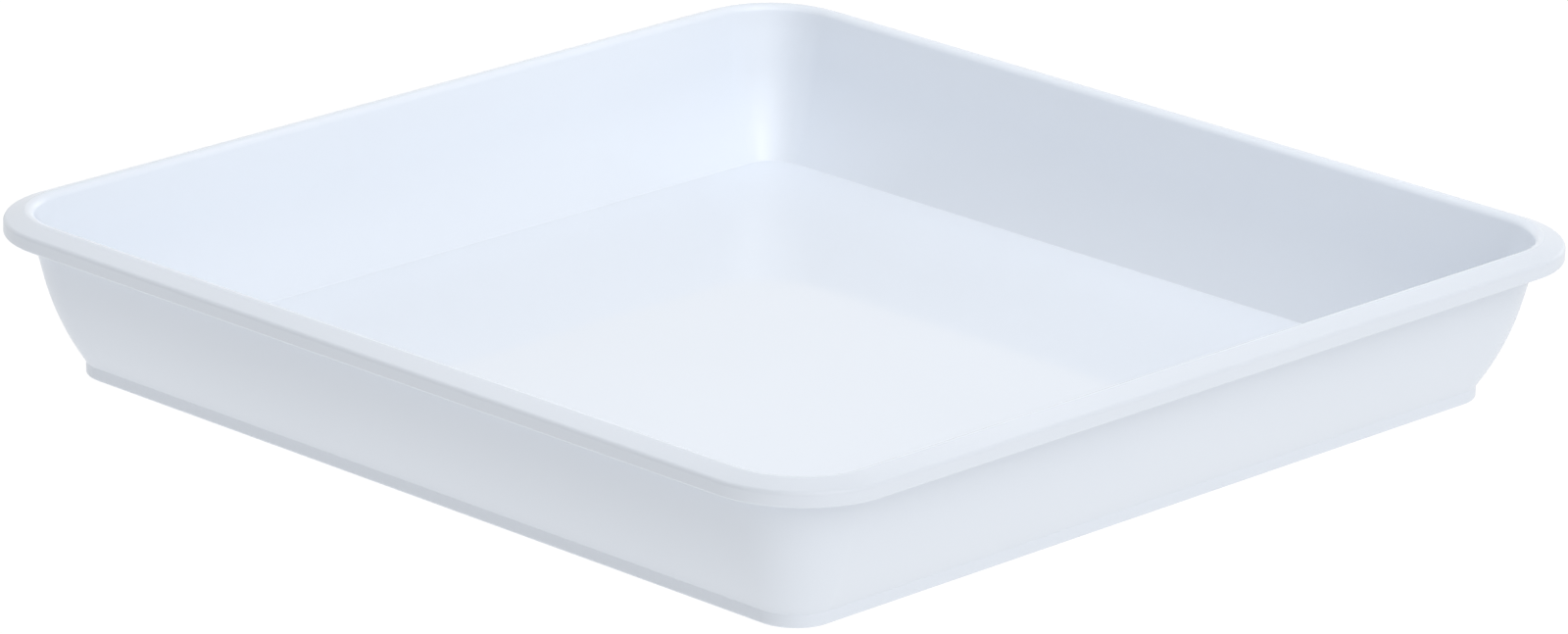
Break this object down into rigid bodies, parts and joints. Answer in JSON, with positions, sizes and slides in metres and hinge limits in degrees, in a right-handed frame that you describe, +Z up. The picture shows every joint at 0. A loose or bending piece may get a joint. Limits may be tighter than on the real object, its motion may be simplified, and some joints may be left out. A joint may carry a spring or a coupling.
{
  "type": "paint roller tray",
  "caption": "Square shallow tray with rounded corners, inward-leaning walls, a turned-down rim to lift it by and a flat floor that holds paint for a roller.",
  "frame": {"origin": "middle of the resting face, on the surface that the tray stands on", "axes": "+Z up; the rim's sides run along X and Y; the front is -Y and the right is +X"},
  "size_m": [0.4, 0.4, 0.059],
  "materials": {
    "tray_plastic": "semi-gloss white moulded polypropylene with a fine moulded grain"
  },
  "bodies": {
    "root": {"floor_panel": "tray_plastic", "foot_ring": "tray_plastic", "front_wall": "tray_plastic", "right_wall": "tray_plastic", "back_wall": "tray_plastic", "left_wall": "tray_plastic", "front_left_corner": "tray_plastic", "front_right_corner": "tray_plastic", "back_right_corner": "tray_plastic", "back_left_corner": "tray_plastic", "front_rim": "tray_plastic", "right_rim": "tray_plastic", "back_rim": "tray_plastic", "left_rim": "tray_plastic", "front_left_rim_corner": "tray_plastic", "front_right_rim_corner": "tray_plastic", "back_right_rim_corner": "tray_plastic", "back_left_rim_corner": "tray_plastic"}
  },
  "joints": []
}
